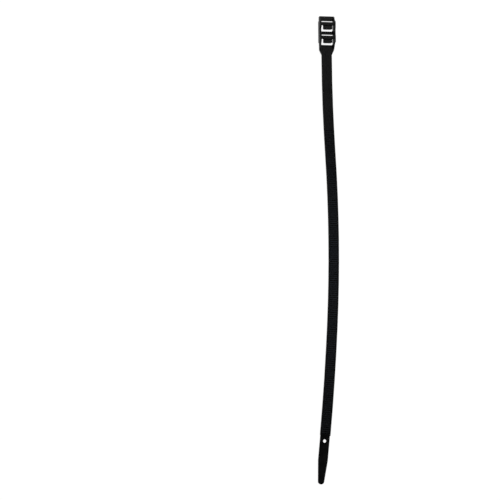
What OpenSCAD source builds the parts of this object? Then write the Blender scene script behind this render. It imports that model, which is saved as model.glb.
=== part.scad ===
// Wide in-line cable tie, one nylon moulding, lying open on its smooth side.
// The tail feeds through the head along the floor bars and under two bridges,
// and a hinged pawl behind each bridge drops into the teeth of the strap.
// Origin: underside of the head, centre of the middle floor bar.
// +Y runs to the free end of the head, the strap runs the other way, +Z is the toothed side.

/* [Show] */
// Node to draw

/* [Strap] */
// Width of the strap
strap_w = 9; // [8.6:0.1:9.2]
// Thickness of the strap over its side bands
strap_t = 1.9; // [1.8:0.05:2]
// Small chamfer along the long edges
edge_c = 0.3; // [0.1:0.05:0.4]
// How far the strap runs straight before it starts to bend
lead_l = 22; // [20:0.5:24]
// Radius of the first bend, towards +X
bow_r1 = 1447; // [1440:1:1450]
// Size of the 35, 612, 613 triangle from the first bend's centre to the second's
bow_k2 = 4.5; // [4.45:0.05:4.55]
// Size of the 37, 684, 685 triangle from the second bend's centre to the third's
bow_k3 = 1; // [0.9:0.05:1.2]

/* [Teeth] */
// Number of teeth
tooth_n = 144; // [120:1:144]
// Number of teeth that lie in the first bend
first_n = 12; // [4:1:24]
// Distance from tooth to tooth
tooth_p = 1.8; // [1.6:0.05:1.8]
// Depth of the teeth
tooth_d = 0.6; // [0.4:0.05:0.7]
// Width of the toothed band
tooth_w = 6.8; // [6:0.1:7]
// Flat land on top of each tooth
crest_l = 0.4; // [0.3:0.05:0.5]
// Flat at the bottom of each gap
valley_l = 0.25; // [0.15:0.05:0.3]
// Plain land between the last tooth and the step of the tail
land_l = 1.3; // [0.6:0.1:2]

/* [Tail] */
// Length of the tail from its step to the tip
tail_l = 41.1; // [36:0.1:50]
// Width of the tail behind the step
tail_w = 8.2; // [7.8:0.1:8.4]
// Thickness of the tail
tail_t = 1.35; // [1.1:0.05:1.5]
// Length that keeps the full tail width
tail_flat = 21; // [14:0.5:24]
// Radius of the round tip
tip_r = 2.6; // [2:0.1:3]
// Diameter of the hole in the tail
hole_d = 2.8; // [2:0.1:4]
// Distance of the hole from the step
hole_at = 4.7; // [4:0.1:8]

/* [Head] */
// Free end of the head, from the origin
free_y = 14.6; // [14.3:0.1:15]
// Width of the head along the towers
head_w = 14; // [13.8:0.1:14.8]
// Width of the plate at the free end
plate_w = 13.1; // [12.8:0.1:13.4]
// Width of the root block where it meets the towers
root_w = 13.1; // [12.8:0.1:13.4]
// Width of the root block where its taper begins
root_w2 = 12.8; // [12.4:0.1:13]
// Start of the taper down to the strap
taper_y = -14.8; // [-16:0.1:-14.2]
// End of the taper down to the strap
neck_y = -18.8; // [-20:0.1:-18]
// Corner cut at the free end of the plate
nose_c = 0.7; // [0.4:0.1:1]
// Height of the rails at the free end
nose_h = 3.2; // [2.6:0.1:3.6]
// How far the rails stop short of the free end
nose_back = 0.35; // [0.2:0.05:0.6]
// Length of the slant from the plate out to the towers
flank_l = 1.1; // [0.8:0.1:1.4]
// Length of the slant from the towers in to the root block
hip_l = 0.6; // [0.4:0.1:1]
// Distance of that slant from the edge of the root window
hip_back = 1.5; // [1:0.1:2]
// Thickness of the floor bars
floor_t = 1.9; // [1.7:0.05:2]
// Length of the lead-in ramp on the free end plate
lead_in = 2.1; // [1.5:0.1:2.5]
// Drop of the lead-in ramp
lead_drop = 0.7; // [0.4:0.05:0.9]

/* [Towers] */
// Height of the towers
tower_h = 7.4; // [7:0.1:8]
// Height of the saddle between the towers
saddle_h = 6; // [5:0.1:6.5]
// Reach of the tower tops behind the hinge lines of the pawls
tower_back = 1.8; // [1:0.1:2]
// Reach of the front tower top before its hinge line
tower_front = 2.4; // [2:0.1:2.8]
// Reach of the rear tower top before its hinge line
tower_mid = 3.15; // [2.6:0.05:3.4]
// Length of the steep slope in front of the towers
slope1_l = 1.9; // [1.6:0.1:2.2]
// Height at the foot of that slope
slope1_h = 5.6; // [5:0.1:6]
// Length of the slope behind the towers
slope2_l = 2.6; // [2.2:0.1:3]
// Height at the foot of that slope
slope2_h = 5.3; // [4.8:0.1:5.8]
// Length of the flatter slope that follows it
slope3_l = 2.6; // [2.2:0.1:3]
// Height at its foot
slope3_h = 3.6; // [3:0.1:4]
// Length of the slopes down to the saddle
saddle_l = 0.8; // [0.4:0.1:1.2]
// Width of the break along the outer top edges of the towers
break_w = 0.5; // [0.3:0.1:0.8]
// Height of that break
break_h = 0.8; // [0.6:0.1:1.4]

/* [Lock] */
// Side clearance of the strap in its channel
side_gap = 1; // [0.5:0.05:1.1]
// Clearance of the strap under the bridges
top_gap = 0.55; // [0.4:0.05:0.7]
// Distance between the two locks
lock_p = 11.75; // [11.5:0.05:12]
// Length of the middle floor bar
bar_l = 2.6; // [2.2:0.1:3]
// Gap between a floor bar and the next bridge
slit_l = 1.85; // [1.5:0.05:2]
// Length of a bridge along the strap
bridge_l = 2.7; // [2.4:0.1:3]
// Height of the top of a bridge
bridge_h = 7; // [6.8:0.1:7.2]
// Length of a pawl from its hinge
pawl_l = 3.4; // [3.2:0.1:3.5]
// Width of a pawl
pawl_w = 7.9; // [7.4:0.1:8.2]
// Thickness of the plate of a pawl
plate_t = 1.4; // [1.2:0.05:1.6]
// Width of the tooth block under a pawl
bite_w = 6.2; // [5.6:0.1:6.4]
// Thickness of the thin hinge of a pawl
hinge_t = 1; // [0.8:0.05:1.1]
// How far the pawl teeth stand above the tooth gaps of a strap in the channel
bite_gap = 0.05; // [0:0.05:0.3]
// Corner cut at the root side of each window
corner_c = 1.1; // [0.6:0.1:1.4]
// Length of the flare at the mouth of the channel
flare_l = 2.4; // [1.8:0.1:3]
// Widening of the flare on each side
flare_w = 0.6; // [0.3:0.05:0.7]
// Chamfer along the top edges of the bridges and pawls
top_c = 0.4; // [0.2:0.05:0.5]
// Lead-in chamfer under the side of a bridge where the tail arrives
lead_c = 0.8; // [0.5:0.1:1]
// Rise of the pawl plates above the underside of the bridges
plate_up = 0.55; // [0.4:0.05:0.7]
// Length of the thin hinge
hinge_l = 0.6; // [0.4:0.1:0.8]
// Gap between the tooth block of a pawl and the strap below it
heel_gap = 0.25; // [0.15:0.05:0.4]
// Length of the sloped back of the first pawl tooth
bite_l = 1; // [0.8:0.05:1.1]
// Flat tip of a pawl tooth
bite_tip = 0.15; // [0.1:0.05:0.2]

/* [Hidden] */
over = 0.4;
arc_fn = 2880;
chan_w = strap_w + 2 * side_gap;
chan_h = strap_t + top_gap;
roof_z = floor_t + chan_h;
win_l = lock_p - bar_l;
end_bar_y = bar_l / 2 + win_l;
root_bar_y = -bar_l / 2 - win_l;
hinge_y = end_bar_y - slit_l - bridge_l;
bow_c1 = [bow_r1, -lead_l];
bow_c2 = bow_c1 - bow_k2 * [612, 35];
bow_c3 = bow_c2 - bow_k3 * [684, -37];
bow_r2 = bow_k2 * 613 - bow_r1;
bow_r3 = bow_k3 * 685 + bow_r2;
bow_d1 = atan(35 / 612);
bow_d2 = -atan(37 / 684);
bow_l1 = lead_l + bow_r1 * bow_d1 * PI / 180;
smooth_l = bow_l1 - first_n * tooth_p - crest_l / 2;
step_l = smooth_l + tooth_n * tooth_p + land_l;
bow_l2 = bow_l1 + bow_r2 * (bow_d1 - bow_d2) * PI / 180;
bow_d3 = bow_d2 - (step_l - bow_l2) / bow_r3 * 180 / PI;
ramp_a = atan((tail_w / 2 - tip_r) / (tail_l - tail_flat - tip_r));
hinge_z = roof_z + plate_up;
bite_z = floor_t + strap_t - tooth_d + bite_gap;
heel_z = floor_t + strap_t + heel_gap;
flank_y = end_bar_y + flank_l / 5;
hip_y = root_bar_y + hip_back;

cable_tie();

// the whole moulding
module cable_tie() {
    color([0.06, 0.06, 0.065]) union() {
        head();
        toothed_strap();
        tail();
    }
}

// puts its children at distance t from the origin along the strap, facing down its length
module on_strap(t) {
    if (t <= lead_l)
        translate([0, -t, 0]) children();
    else if (t <= bow_l1)
        around(bow_c1, -bow_r1, (t - lead_l) / bow_r1 * 180 / PI) children();
    else if (t <= bow_l2)
        around(bow_c2, bow_r2, bow_d1 - (t - bow_l1) / bow_r2 * 180 / PI) children();
    else if (t <= step_l)
        around(bow_c3, bow_r3, bow_d2 - (t - bow_l2) / bow_r3 * 180 / PI) children();
    else
        around(bow_c3, bow_r3, bow_d3) translate([0, step_l - t, 0]) children();
}

// puts its children on the circle of radius r about c, at angle a from the X axis
module around(c, r, a) {
    translate(c) rotate(a) translate([r, 0, 0]) children();
}

// section across the strap, with its long edges broken
module strap_section() {
    w = strap_w / 2;
    polygon([
        [-w + edge_c, 0], [w - edge_c, 0], [w, edge_c], [w, strap_t - edge_c],
        [w - edge_c, strap_t], [-w + edge_c, strap_t], [-w, strap_t - edge_c], [-w, edge_c]
    ]);
}

// one bend of the strap about c, swept from angle a0 to a1 and kept inside a plan
module bend(c, r, a0, a1, plan) {
    intersection() {
        translate(c) rotate_extrude(start = a0, angle = a1 - a0, $fn = arc_fn)
            translate([r, 0]) strap_section();
        translate([0, 0, -over]) linear_extrude(strap_t + 2 * over) polygon(plan);
    }
}

// the strap from the neck of the head to the step of the tail, without its teeth;
// each pair of bends meets on the line through their centres, where they share a tangent,
// and whole-number triangles keep that point exact
module plain_strap() {
    meet_23 = bow_c2 + 2 * (bow_c2 - bow_c3);
    tail_end = bow_c3 + (bow_r3 + 2 * strap_w) * [cos(bow_d3), sin(bow_d3)];
    translate([0, neck_y + over, 0]) rotate([90, 0, 0])
        linear_extrude(lead_l + neck_y + over) strap_section();
    bend(bow_c1, bow_r1, 180, 180 + 1.5 * bow_d1, [bow_c1, bow_c2, [bow_c2[0], over], [bow_r1, over]]);
    bend(bow_c2, bow_r2, 1.5 * bow_d2, 1.5 * bow_d1, [bow_c2, bow_c1, meet_23]);
    bend(bow_c3, bow_r3, 1.5 * bow_d3, 0, [bow_c3, meet_23, tail_end]);
}

// side view of one tooth gap: a ramp that falls towards the tail, then a steep wall
module tooth_gap() {
    ramp_l = tooth_p - valley_l - crest_l;
    lift = 0.15;
    rotate([90, 0, -90]) linear_extrude(tooth_w, center = true) polygon([
        [crest_l - lift * ramp_l / tooth_d, strap_t + lift], [tooth_p - valley_l, strap_t - tooth_d],
        [tooth_p, strap_t - tooth_d], [tooth_p, strap_t + lift]
    ]);
}

module toothed_strap() {
    difference() {
        plain_strap();
        for (i = [0 : tooth_n - 1])
            on_strap(smooth_l + i * tooth_p) tooth_gap();
    }
}

// plan of the tail, with the step at the origin and the tip towards -Y
module tail_plan() {
    end_y = -(tail_l - tip_r + tip_r * sin(ramp_a));
    polygon([
        [-tail_w / 2, over], [-tail_w / 2, -tail_flat], [-tip_r * cos(ramp_a), end_y],
        [tip_r * cos(ramp_a), end_y], [tail_w / 2, -tail_flat], [tail_w / 2, over]
    ]);
    translate([0, tip_r - tail_l]) circle(r = tip_r, $fn = 96);
}

module tail() {
    on_strap(step_l) difference() {
        linear_extrude(tail_t) tail_plan();
        translate([0, -hole_at, -over]) cylinder(d = hole_d, h = tail_t + 2 * over, $fn = 72);
    }
}

// plan of the whole head, from the free end to the neck
module head_plan() {
    e = plate_w / 2;
    m = head_w / 2;
    polygon([
        [-e + nose_c, free_y], [-e, free_y - nose_c], [-e, flank_y], [-m, flank_y - flank_l],
        [-m, hip_y + hip_l], [-root_w / 2, hip_y], [-root_w2 / 2, taper_y],
        [-strap_w / 2, neck_y], [strap_w / 2, neck_y], [root_w2 / 2, taper_y],
        [root_w / 2, hip_y], [m, hip_y + hip_l], [m, flank_y - flank_l],
        [e, flank_y], [e, free_y - nose_c], [e - nose_c, free_y]
    ]);
}

// plan of the channel that takes the strap, flared where the tail goes in
module channel_plan() {
    c = chan_w / 2;
    polygon([
        [-c - flare_w, free_y + over], [-c, free_y - flare_l], [-c, taper_y - over],
        [c, taper_y - over], [c, free_y - flare_l], [c + flare_w, free_y + over]
    ]);
}

// plan of one window through the floor, y is the middle of the floor bar on its root side
module window_plan(y) {
    c = chan_w / 2;
    y0 = y + bar_l / 2;
    polygon([
        [-c, y0 + win_l], [-c, y0 + corner_c], [-c + corner_c, y0],
        [c - corner_c, y0], [c, y0 + corner_c], [c, y0 + win_l]
    ]);
}

// side view of the rails with their two towers, y to the right
module rail_side() {
    f = hinge_y + tower_front;
    r = hinge_y - lock_p - tower_back;
    polygon([
        [free_y - nose_back, -over], [free_y - nose_back, nose_h], [f + slope1_l, slope1_h], [f, tower_h],
        [hinge_y - tower_back, tower_h], [hinge_y - tower_back - saddle_l, saddle_h],
        [hinge_y - lock_p + tower_mid + saddle_l, saddle_h], [hinge_y - lock_p + tower_mid, tower_h],
        [r, tower_h], [r - slope2_l, slope2_h], [r - slope2_l - slope3_l, slope3_h],
        [taper_y, floor_t], [taper_y, -over]
    ]);
}

// side view of the floor, with the lead-in ramp
module floor_side() {
    polygon([
        [free_y + over, -over], [free_y + over, floor_t - lead_drop], [free_y, floor_t - lead_drop],
        [free_y - lead_in, floor_t], [neck_y - over, floor_t], [neck_y - over, -over]
    ]);
}

// turns a side view into a solid across the tie
module across(w) {
    rotate([90, 0, 90]) linear_extrude(w, center = true) children();
}

module head_floor() {
    intersection() {
        linear_extrude(floor_t) difference() {
            head_plan();
            window_plan(0);
            window_plan(-lock_p);
        }
        across(head_w + 2) floor_side();
    }
}

module rails() {
    intersection() {
        linear_extrude(tower_h) difference() {
            head_plan();
            channel_plan();
        }
        across(head_w + 2) rail_side();
        rotate([90, 0, 0]) linear_extrude(2 * (free_y - neck_y), center = true) tower_section();
    }
}

// section across the towers, with their long outer edges broken
module tower_section() {
    m = head_w / 2 + over;
    b = head_w / 2 - break_w;
    polygon([
        [-m, -over], [m, -over], [m, tower_h - break_h - over * break_h / break_w], [b, tower_h],
        [-b, tower_h], [-m, tower_h - break_h - over * break_h / break_w]
    ]);
}

// bridge over the channel, h is the line its pawl hinges on
module bridge(h) {
    across((chan_w + head_w) / 2) polygon([
        [h, roof_z], [h + bridge_l - lead_c, roof_z], [h + bridge_l, roof_z + lead_c],
        [h + bridge_l, bridge_h - top_c], [h + bridge_l - top_c, bridge_h],
        [h + top_c, bridge_h], [h, bridge_h - top_c]
    ]);
}

// pawl hinged on the bridge and reaching towards the root: a plate with a thin hinge,
// and a narrower block beneath that carries two teeth
module pawl(h) {
    top = hinge_z + plate_t;
    across(pawl_w) polygon([
        [h + over, hinge_z + hinge_t], [h - hinge_l, hinge_z + hinge_t], [h - hinge_l - top_c, top],
        [h - pawl_l + top_c, top], [h - pawl_l, top - top_c], [h - pawl_l, hinge_z], [h + over, hinge_z]
    ]);
    across(bite_w) {
        polygon([
            [h - pawl_l, heel_z], [h - hinge_l - top_c, heel_z], [h - hinge_l, hinge_z],
            [h - hinge_l, hinge_z + over / 2], [h - pawl_l, hinge_z + over / 2]
        ]);
        pawl_tooth(h - pawl_l, bite_l);
        pawl_tooth(h - pawl_l + tooth_p, bite_l / 2);
    }
}

// side view of a pawl tooth: steep towards the root, sloped towards the bridge
module pawl_tooth(y, l) {
    polygon([
        [y, bite_z], [y + bite_tip, bite_z], [y + bite_tip + l, heel_z],
        [y + l, heel_z + over / 2], [y + bite_tip / 2, heel_z + over / 2], [y, heel_z]
    ]);
}

module head() {
    head_floor();
    rails();
    for (y = [0, -lock_p]) {
        bridge(y + hinge_y);
        pawl(y + hinge_y);
    }
}
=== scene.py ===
import math

import bmesh
import bpy
from mathutils import Matrix, Vector


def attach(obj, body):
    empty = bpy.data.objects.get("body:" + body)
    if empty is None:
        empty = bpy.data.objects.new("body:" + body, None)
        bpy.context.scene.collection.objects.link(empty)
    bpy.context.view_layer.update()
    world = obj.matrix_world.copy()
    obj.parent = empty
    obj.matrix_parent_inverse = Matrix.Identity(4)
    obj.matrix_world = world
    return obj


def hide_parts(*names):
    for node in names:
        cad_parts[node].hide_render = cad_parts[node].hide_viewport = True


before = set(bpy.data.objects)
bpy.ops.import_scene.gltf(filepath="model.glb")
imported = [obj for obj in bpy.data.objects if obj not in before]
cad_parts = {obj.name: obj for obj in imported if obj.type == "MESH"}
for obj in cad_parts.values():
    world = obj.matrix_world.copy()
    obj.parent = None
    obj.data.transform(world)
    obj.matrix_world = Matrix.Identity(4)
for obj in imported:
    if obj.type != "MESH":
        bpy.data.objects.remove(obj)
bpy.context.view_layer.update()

bpy.ops.object.select_all(action="DESELECT")
print("frame loaded")


# where the photographer stood: angles in degrees, lengths in metres
camera = {
    "target": (-0.067706, -0.186852, 0.0),  # point of the table in the middle of the picture
    "turn": 0.3991,       # how far the picture is turned against the tie
    "left": 10.8,         # lean of the view to the left
    "down": 5.0,          # lean of the view towards the tail
    "distance": 1.68495,
    "lens": 144.0,        # millimetres, as is the sensor
    "sensor": 36.0,
    "sees": (0.01, 20.0),  # nearest and farthest distance
}


def addCamera():
    left = math.tan(math.radians(camera["left"]))
    down = math.tan(math.radians(camera["down"]))
    back = Vector((-left, -down, 1)).normalized()
    right = (-back).cross(Vector((0, 1, 0))).normalized()
    up = back.cross(right)
    turn = Matrix.Rotation(math.radians(-camera["turn"]), 3, "Z")
    back, right, up = turn @ back, turn @ right, turn @ up
    place = Vector(camera["target"]) + back * camera["distance"]

    data = bpy.data.cameras.new("photoCamera")
    data.lens = camera["lens"]
    data.sensor_width = camera["sensor"]
    data.clip_start, data.clip_end = camera["sees"]
    eye = bpy.data.objects.new("photoCamera", data)
    bpy.context.scene.collection.objects.link(eye)
    eye.matrix_world = Matrix((
        (right.x, up.x, back.x, place.x),
        (right.y, up.y, back.y, place.y),
        (right.z, up.z, back.z, place.z),
        (0, 0, 0, 1)))
    bpy.context.scene.camera = eye


addCamera()
print("camera set")


# soft studio light, sizes and places in metres
studio = {
    "skyTop": 0.06,           # strength of the even light overhead, where a dark ceiling hangs
    "skyRim": 1.7,            # and of the pale walls all round
    "skyEdge": (0.35, 0.55),  # sine of the height where the walls end and the ceiling begins
    # soft lamps: power, place, size, tint
    "lamps": {
        "leftLamp": (12.0, (-1.9, -0.1, 1.1), 1.6, (1, 1, 1)),
        "rightLamp": (14.0, (1.9, -0.3, 1.1), 1.6, (1, 1, 1)),
        "headLamp": (7.9, (0.4, 0.8, 1.35), 0.75, (1, 1, 1)),
        "tailLamp": (1.05, (0.4, -1.39, 0.94), 0.34, (0.7, 0.82, 1)),
    },
    "lampAim": (0, -0.18, 0),
    "floorPlace": (0, -0.18, -0.0002),  # a hair below the tie
    "floorSize": 12.0,
    "floorColour": (0.9, 0.9, 0.9, 1),
    "floorGlow": 0.96,                  # how white the camera sees the paper by itself
    "floorShade": (0.1, 0.1, 0.1, 1),   # how much of the light and shadow on it the camera sees
    "floorInGloss": 0.3,                # share of the glow that glossy surfaces show
}


def addLamp(name, power, place, size, tint):
    bpy.ops.object.light_add(type="AREA", location=place)
    lamp = bpy.context.active_object
    lamp.name = name
    lamp.data.energy = power
    lamp.data.color = tint
    lamp.data.shape = "DISK"
    lamp.data.size = size
    aim = Vector(studio["lampAim"]) - Vector(place)
    lamp.rotation_euler = aim.to_track_quat("-Z", "Y").to_euler()


# pale walls and a dark ceiling light the tie, but the camera sees one pale grey in their place
def addSky():
    world = bpy.data.worlds.new("studioWorld")
    bpy.context.scene.world = world
    world.use_nodes = True
    tree = world.node_tree
    tree.nodes.clear()
    where = tree.nodes.new("ShaderNodeTexCoord")
    split = tree.nodes.new("ShaderNodeSeparateXYZ")
    height = tree.nodes.new("ShaderNodeMapRange")
    height.interpolation_type = "SMOOTHSTEP"
    height.inputs["From Min"].default_value = studio["skyEdge"][0]
    height.inputs["From Max"].default_value = studio["skyEdge"][1]
    height.inputs["To Min"].default_value = studio["skyRim"]
    height.inputs["To Max"].default_value = studio["skyTop"]
    light = tree.nodes.new("ShaderNodeBackground")
    tree.links.new(where.outputs["Generated"], split.inputs[0])
    tree.links.new(split.outputs["Z"], height.inputs["Value"])
    tree.links.new(height.outputs["Result"], light.inputs["Strength"])

    seen = tree.nodes.new("ShaderNodeBackground")
    path = tree.nodes.new("ShaderNodeLightPath")
    mix = tree.nodes.new("ShaderNodeMixShader")
    out = tree.nodes.new("ShaderNodeOutputWorld")
    tree.links.new(path.outputs["Is Camera Ray"], mix.inputs["Fac"])
    tree.links.new(light.outputs[0], mix.inputs[1])
    tree.links.new(seen.outputs[0], mix.inputs[2])
    tree.links.new(mix.outputs[0], out.inputs["Surface"])


# 1 for rays that see the white paper from the camera, and less off a glossy or clear surface
def seenRay(tree):
    path = tree.nodes.new("ShaderNodeLightPath")
    total = path.outputs["Is Camera Ray"]
    for kind in ("Is Glossy Ray", "Is Transmission Ray"):
        dim = tree.nodes.new("ShaderNodeMath")
        dim.operation = "MULTIPLY"
        dim.inputs[1].default_value = studio["floorInGloss"]
        tree.links.new(path.outputs[kind], dim.inputs[0])
        most = tree.nodes.new("ShaderNodeMath")
        most.operation = "MAXIMUM"
        tree.links.new(total, most.inputs[0])
        tree.links.new(dim.outputs[0], most.inputs[1])
        total = most.outputs[0]
    return total


def makePaper():
    m = bpy.data.materials.new("whitePaper")
    m.use_nodes = True
    tree = m.node_tree
    tree.nodes.clear()
    paint = tree.nodes.new("ShaderNodeBsdfDiffuse")
    paint.inputs["Color"].default_value = studio["floorColour"]
    glow = tree.nodes.new("ShaderNodeEmission")
    glow.inputs["Strength"].default_value = studio["floorGlow"]
    shade = tree.nodes.new("ShaderNodeBsdfDiffuse")
    shade.inputs["Color"].default_value = studio["floorShade"]
    both = tree.nodes.new("ShaderNodeAddShader")
    mix = tree.nodes.new("ShaderNodeMixShader")
    out = tree.nodes.new("ShaderNodeOutputMaterial")
    tree.links.new(shade.outputs[0], both.inputs[0])
    tree.links.new(glow.outputs[0], both.inputs[1])
    tree.links.new(seenRay(tree), mix.inputs["Fac"])
    tree.links.new(paint.outputs[0], mix.inputs[1])
    tree.links.new(both.outputs[0], mix.inputs[2])
    tree.links.new(mix.outputs[0], out.inputs["Surface"])
    return m


def addFloor():
    bpy.ops.mesh.primitive_plane_add(size=studio["floorSize"], location=studio["floorPlace"])
    floor = bpy.context.active_object
    floor.name = "floor"
    floor.data.materials.append(makePaper())


addSky()
for name, (power, place, size, tint) in studio["lamps"].items():
    addLamp(name, power, place, size, tint)
addFloor()
bpy.context.scene.view_settings.view_transform = "Standard"
print("studio set")


# the tie as it is seen: a merged copy of the solid with its moulded edges eased, lengths in metres
tieLook = {
    "mergeWithin": 0.000002,    # corners closer than this become one
    "flatWithin": 0.6,          # degrees: triangles that lie flatter than this become one face
    "sharpFrom": 20.0,          # degrees: edges that turn more than this are eased
    "uprightFrom": 50.0,        # and upright ones, so that round walls stay round
    "uprightShare": 0.9,        # an edge is upright if its rise is this much of its length
    "ease": 0.00016,            # width of the eased edges of head, strap and tail
    "toothEase": 0.00006,       # width on the teeth
    "easeSteps": 2,             # faces across an eased edge
    "room": 0.22,               # share of a small neighbouring edge that an eased edge may take
    "headFoot": -0.0195,        # the head ends here
    "toothLow": 0.0009,         # the edges of teeth lie higher than this
    "toothLong": 0.008,         # and are shorter than this
    "smoothBelow": 32.0,        # degrees: edges that turn less than this look round
    "teeth": (-0.344, -0.079),  # where the toothed stretch ends and begins
    "rampLevel": (0.87, 0.95),  # upward share of the normal of a tooth's ramp, from and to
}


# the short edges high on the strap are those of the teeth, and of the hole in the tail
def isTooth(edge):
    middle = (edge.verts[0].co + edge.verts[1].co) / 2
    low = min(v.co.z for v in edge.verts)
    small = low > tieLook["toothLow"] and edge.calc_length() < tieLook["toothLong"]
    return small and middle.y < tieLook["headFoot"]


# how wide an edge may be eased without running into its neighbours, from 0 to 1
def edgeWeight(edge, wanted):
    room = edge.calc_length()
    for face in edge.link_faces:
        for corner in face.loops:
            side = corner.edge
            if side is edge or not (side.verts[0] in edge.verts or side.verts[1] in edge.verts):
                continue
            room = min(room, side.calc_length())
    return min(wanted, tieLook["room"] * room) / tieLook["ease"]


# only outer edges are eased, and the slack ones between round facets stay as they are
def weighEdges(mesh):
    grid = bmesh.new()
    grid.from_mesh(mesh)
    weights = grid.edges.layers.float.new("bevel_weight_edge")
    for edge in grid.edges:
        run = edge.verts[1].co - edge.verts[0].co
        upright = abs(run.z) > tieLook["uprightShare"] * run.length
        sharp = tieLook["uprightFrom"] if upright else tieLook["sharpFrom"]
        if edge.is_convex and edge.calc_face_angle() >= math.radians(sharp):
            edge[weights] = edgeWeight(edge, tieLook["toothEase"] if isTooth(edge) else tieLook["ease"])
    grid.to_mesh(mesh)
    grid.free()


# marks the ramps of the teeth, for the material
def markRamps(mesh):
    marks = mesh.attributes.new("ramp", "FLOAT", "FACE")
    end, start = tieLook["teeth"]
    low, high = tieLook["rampLevel"]
    for face in mesh.polygons:
        isRamp = end < face.center.y < start and low < face.normal.z < high
        marks.data[face.index].value = 1 if isRamp else 0


def makeTie():
    bpy.ops.object.select_all(action="DESELECT")
    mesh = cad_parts["cable_tie"].data.copy()
    mesh.name = "nylonTie"
    piece = bpy.data.objects.new("nylonTie", mesh)
    bpy.context.scene.collection.objects.link(piece)
    piece.select_set(True)
    bpy.context.view_layer.objects.active = piece
    bpy.ops.object.mode_set(mode="EDIT")
    bpy.ops.mesh.select_all(action="SELECT")
    bpy.ops.mesh.remove_doubles(threshold=tieLook["mergeWithin"])
    bpy.ops.mesh.dissolve_limited(angle_limit=math.radians(tieLook["flatWithin"]))
    bpy.ops.object.mode_set(mode="OBJECT")

    weighEdges(mesh)
    ease = piece.modifiers.new("easedEdges", "BEVEL")
    ease.width = tieLook["ease"]
    ease.segments = tieLook["easeSteps"]
    ease.limit_method = "WEIGHT"
    ease.use_clamp_overlap = False
    ease.loop_slide = False
    bpy.ops.object.modifier_apply(modifier=ease.name)
    bpy.ops.object.mode_set(mode="EDIT")
    bpy.ops.mesh.select_all(action="SELECT")
    bpy.ops.mesh.dissolve_degenerate(threshold=tieLook["mergeWithin"])
    bpy.ops.object.mode_set(mode="OBJECT")

    bpy.ops.object.shade_smooth_by_angle(angle=math.radians(tieLook["smoothBelow"]))
    level = piece.modifiers.new("flatFaces", "WEIGHTED_NORMAL")
    level.keep_sharp = True
    bpy.ops.object.modifier_apply(modifier=level.name)
    markRamps(mesh)
    return piece


tie = makeTie()
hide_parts("cable_tie")
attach(tie, "root")
print("tie made,", len(tie.data.polygons), "faces")


# black nylon as it comes from the mould, sizes in metres
nylon = {
    "colour": (0.0009, 0.0009, 0.001, 1),
    "paler": (0.0018, 0.0018, 0.002, 1),  # where the pigment is thinner
    "refraction": 1.24,         # low, for a satin skin
    "roughness": (0.33, 0.43),  # glossiest and dullest patches
    "rubbedRoughness": 0.27,    # along the fine scuffs
    "rampRoughness": 0.28,      # on the ramps of the teeth, which come from a smoother insert
    # size and detail of each pattern
    "clouds": (0.004, 4),       # paler and darker pigment
    "scuffs": (0.0009, 2),      # marks that handling leaves along the strap
    "waves": (0.006, 1),        # where the nylon shrank
    "grain": (0.00022, 3),      # fine eroded texture of the mould
    # values of a pattern between which its effect sets in
    "paleFrom": (0.35, 0.7),
    "dullFrom": (0.3, 0.7),
    "scuffFrom": (0.6, 0.68),
    "scuffStretch": 30,         # how many times longer than wide the scuffs are
    "waveDepth": 0.000012,
    "grainDepth": 0.0000035,
}


def addNoise(tree, place, pattern):
    size, detail = pattern
    noise = tree.nodes.new("ShaderNodeTexNoise")
    noise.inputs["Scale"].default_value = 1 / size
    noise.inputs["Detail"].default_value = detail
    tree.links.new(place, noise.inputs["Vector"])
    return noise.outputs["Fac"]


def addRange(tree, value, span, result=(0, 1)):
    spread = tree.nodes.new("ShaderNodeMapRange")
    spread.inputs["From Min"].default_value = span[0]
    spread.inputs["From Max"].default_value = span[1]
    spread.inputs["To Min"].default_value = result[0]
    spread.inputs["To Max"].default_value = result[1]
    tree.links.new(value, spread.inputs["Value"])
    return spread.outputs["Result"]


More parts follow.
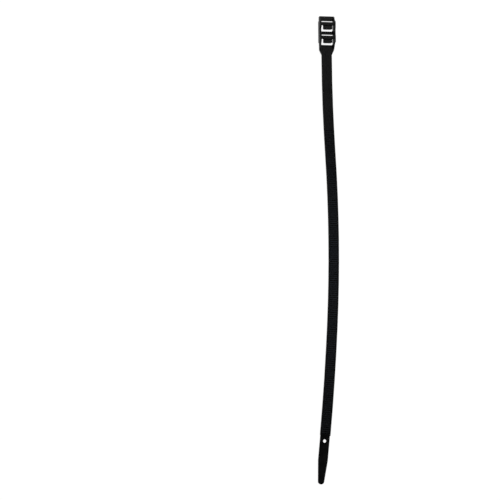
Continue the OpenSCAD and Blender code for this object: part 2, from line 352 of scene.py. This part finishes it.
# goes from the first roughness to the second as the share rises from 0 to 1
def addRoughness(tree, share, first, second):
    mix = tree.nodes.new("ShaderNodeMix")
    mix.data_type = "FLOAT"
    mix.inputs["B"].default_value = second
    tree.links.new(share, mix.inputs["Factor"])
    tree.links.new(first, mix.inputs["A"])
    return mix.outputs["Result"]


def addBump(tree, height, depth, below=None):
    bump = tree.nodes.new("ShaderNodeBump")
    bump.inputs["Distance"].default_value = depth
    tree.links.new(height, bump.inputs["Height"])
    if below:
        tree.links.new(below, bump.inputs["Normal"])
    return bump.outputs["Normal"]


def makeNylon():
    m = bpy.data.materials.new("blackNylon")
    m.use_nodes = True
    tree = m.node_tree
    shader = tree.nodes["Principled BSDF"]
    shader.inputs["IOR"].default_value = nylon["refraction"]
    place = tree.nodes.new("ShaderNodeTexCoord").outputs["Object"]

    clouds = addNoise(tree, place, nylon["clouds"])
    paint = tree.nodes.new("ShaderNodeMix")
    paint.data_type = "RGBA"
    paint.inputs["A"].default_value = nylon["colour"]
    paint.inputs["B"].default_value = nylon["paler"]
    tree.links.new(addRange(tree, clouds, nylon["paleFrom"]), paint.inputs["Factor"])
    tree.links.new(paint.outputs["Result"], shader.inputs["Base Color"])

    # the scuffs run along the strap, over glossier and duller patches
    along = tree.nodes.new("ShaderNodeMapping")
    along.inputs["Scale"].default_value = (1, 1 / nylon["scuffStretch"], 1)
    tree.links.new(place, along.inputs["Vector"])
    marks = addNoise(tree, along.outputs["Vector"], nylon["scuffs"])
    scuffs = addRange(tree, marks, nylon["scuffFrom"])
    ramps = tree.nodes.new("ShaderNodeAttribute")
    ramps.attribute_name = "ramp"
    dull = addRange(tree, clouds, nylon["dullFrom"], nylon["roughness"])
    rubbed = addRoughness(tree, scuffs, dull, nylon["rubbedRoughness"])
    moulded = addRoughness(tree, ramps.outputs["Fac"], rubbed, nylon["rampRoughness"])
    tree.links.new(moulded, shader.inputs["Roughness"])

    waves = addBump(tree, addNoise(tree, place, nylon["waves"]), nylon["waveDepth"])
    grain = addBump(tree, addNoise(tree, place, nylon["grain"]), nylon["grainDepth"], waves)
    tree.links.new(grain, shader.inputs["Normal"])
    return m


tie.data.materials.clear()
tie.data.materials.append(makeNylon())
print("nylon made")
